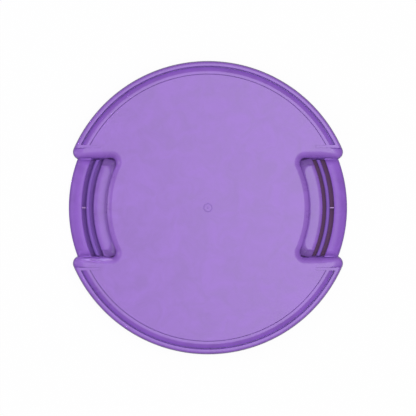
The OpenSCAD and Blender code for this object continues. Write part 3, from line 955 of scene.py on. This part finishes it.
class BOARD_OT_studio(bpy.types.Operator):
    """Sets the floor, the soft lights, the world and a camera straight above the board"""

    bl_idname = "board.studio"
    bl_label = "Studio"

    def execute(self, context):
        self.lay_floor(context)
        self.hang_lights(context)
        self.set_world(context)
        self.set_camera(context)
        context.scene.view_settings.view_transform = "Standard"
        return {"FINISHED"}

    def lay_floor(self, context):
        """A wide sheet of studio paper under the board."""
        bm = bmesh.new()
        bmesh.ops.create_grid(bm, x_segments=1, y_segments=1, size=6)
        mesh = bpy.data.meshes.new("studio_floor")
        bm.to_mesh(mesh)
        bm.free()
        floor = bpy.data.objects.new("studio_floor", mesh)
        context.scene.collection.objects.link(floor)
        material = bpy.data.materials.new("studio_paper")
        material.use_nodes = True
        self.paint_paper(material.node_tree)
        mesh.materials.append(material)

    def paint_paper(self, tree):
        """Paper that glows white to the camera; below the board's wells it carries painted shade,
        purple under the left well and darker under the right.
        """
        nodes = tree.nodes
        shader = nodes["Principled BSDF"]
        shader.inputs["Roughness"].default_value = 0.9
        # painted shade under the board, split left to right across the middle
        under = add_node(nodes, "Mix", {"A": paint(colours().stand), "B": paint(colours().shade)},
                         data_type="RGBA")
        tint = add_node(nodes, "Mix", {"B": paint(colours().floor)}, data_type="RGBA")
        place = add_node(nodes, "SeparateXYZ")
        across = add_node(nodes, "MapRange", {"From Min": -0.1, "From Max": 0.1})
        glow = add_node(nodes, "Emission", {"Strength": 1.04})
        rays = add_node(nodes, "LightPath")
        coordinates = add_node(nodes, "TexCoord")
        distance = add_node(nodes, "VectorMath", operation="LENGTH")
        clear = add_node(nodes, "MapRange", {"From Min": GRIP_OUT_R - 16 * MM,
                                             "From Max": GRIP_OUT_R - 4 * MM, "To Max": 0.92})
        share = add_node(nodes, "Math", operation="MULTIPLY")
        mix = add_node(nodes, "MixShader")
        join(tree.links,
             (coordinates, "Object", distance, 0),
             (distance, "Value", clear, "Value"),
             (coordinates, "Object", place, "Vector"),
             (place, "X", across, "Value"),
             (across, "Result", under, "Factor"),
             (under, "Result", tint, "A"),
             (clear, "Result", tint, "Factor"),
             (tint, "Result", shader, "Base Color"),
             (rays, "Is Camera Ray", share, 0),
             (clear, "Result", share, 1),
             (share, "Value", mix, "Fac"),
             (shader, "BSDF", mix, 1),
             (glow, "Emission", mix, 2),
             (mix, "Shader", nodes["Material Output"], "Surface"))

    def hang_lights(self, context):
        """Two softboxes, and a narrow beam that draws a bright line on the left well's lip."""
        for name, place, aim, size, spread, power in (
                ("overhead_softbox", (0.32, 0.05, 1.7), (0, 0, 0), (1.0, 1.0), 180, 11.5),
                ("left_softbox", (-2.0, 0.1, 0.8), (0, 0, 0), (0.7, 0.7), 180, 4.5),
                ("lip_light", (-0.168, 0.7, 0.15), (-0.168, -0.08, 0.03), (0.08, 0.04), 9,
                 0.0045)):
            lamp = bpy.data.lights.new(name, "AREA")
            lamp.shape = "RECTANGLE"
            lamp.size, lamp.size_y = size
            lamp.spread = radians(spread)
            lamp.energy = power
            light = bpy.data.objects.new(name, lamp)
            light.location = place
            light.rotation_euler = (Vector(place) - Vector(aim)).to_track_quat("Z", "Y").to_euler()
            context.scene.collection.objects.link(light)

    def set_world(self, context):
        """A dome of light, brighter overhead, that the camera sees as plain white."""
        world = context.scene.world or bpy.data.worlds.new("studio_world")
        context.scene.world = world
        world.use_nodes = True
        nodes = world.node_tree.nodes
        background = nodes["Background"]
        background.inputs["Color"].default_value = (1, 1, 1, 1)
        coordinates = add_node(nodes, "TexCoord")
        height = add_node(nodes, "SeparateXYZ")
        dome = add_node(nodes, "MapRange", {"From Min": 0.2, "From Max": 0.8,
                                            "To Min": 0.1, "To Max": 0.8})
        rays = add_node(nodes, "LightPath")
        seen = add_node(nodes, "Math", operation="MAXIMUM")
        join(world.node_tree.links,
             (coordinates, "Generated", height, "Vector"),
             (height, "Z", dome, "Value"),
             (dome, "Result", seen, 0),
             (rays, "Is Camera Ray", seen, 1),
             (seen, "Value", background, "Strength"))

    def set_camera(self, context):
        """The camera stands so far above that the wells show hardly any perspective."""
        height = 30.0
        view_w = 2 * BOARD_R / 0.706  # the board takes this share of the view's width
        data = bpy.data.cameras.new("camera_above")
        data.sensor_width = 36
        data.lens = data.sensor_width * (height - DECK_Z) / view_w
        data.clip_end = 2 * height
        camera = bpy.data.objects.new("camera_above", data)
        camera.location = (0.1 * MM, -0.5 * MM, height)
        context.scene.collection.objects.link(camera)
        context.scene.camera = camera


class BOARD_PT_panel(bpy.types.Panel):
    """Lists the board's pieces and its sizes"""

    bl_idname = "BOARD_PT_panel"
    bl_label = "Kneeling Board"
    bl_space_type = "VIEW_3D"
    bl_region_type = "UI"
    bl_category = "Board"

    def draw(self, context):
        for operator in STEPS:
            self.layout.operator(operator.bl_idname)
        for group in (context.scene.board_sizes, context.scene.board_colours):
            for key in group.bl_rna.properties.keys():
                if key not in ("rna_type", "name"):
                    self.layout.prop(group, key)


STEPS = (BOARD_OT_deck, BOARD_OT_rims, BOARD_OT_ledges, BOARD_OT_grips, BOARD_OT_underside,
         BOARD_OT_studio)
CLASSES = (BoardSizes, BoardColours, *STEPS, BOARD_PT_panel)


def register():
    for cls in CLASSES:
        bpy.utils.register_class(cls)
    bpy.types.Scene.board_sizes = PointerProperty(type=BoardSizes)
    bpy.types.Scene.board_colours = PointerProperty(type=BoardColours)


def unregister():
    del bpy.types.Scene.board_colours
    del bpy.types.Scene.board_sizes
    for cls in reversed(CLASSES):
        bpy.utils.unregister_class(cls)


def main():
    register()
    bpy.ops.board.deck()
    bpy.ops.board.rims()
    bpy.ops.board.ledges()
    bpy.ops.board.grips()
    bpy.ops.board.underside()
    bpy.ops.board.studio()


if __name__ == "__main__":
    main()
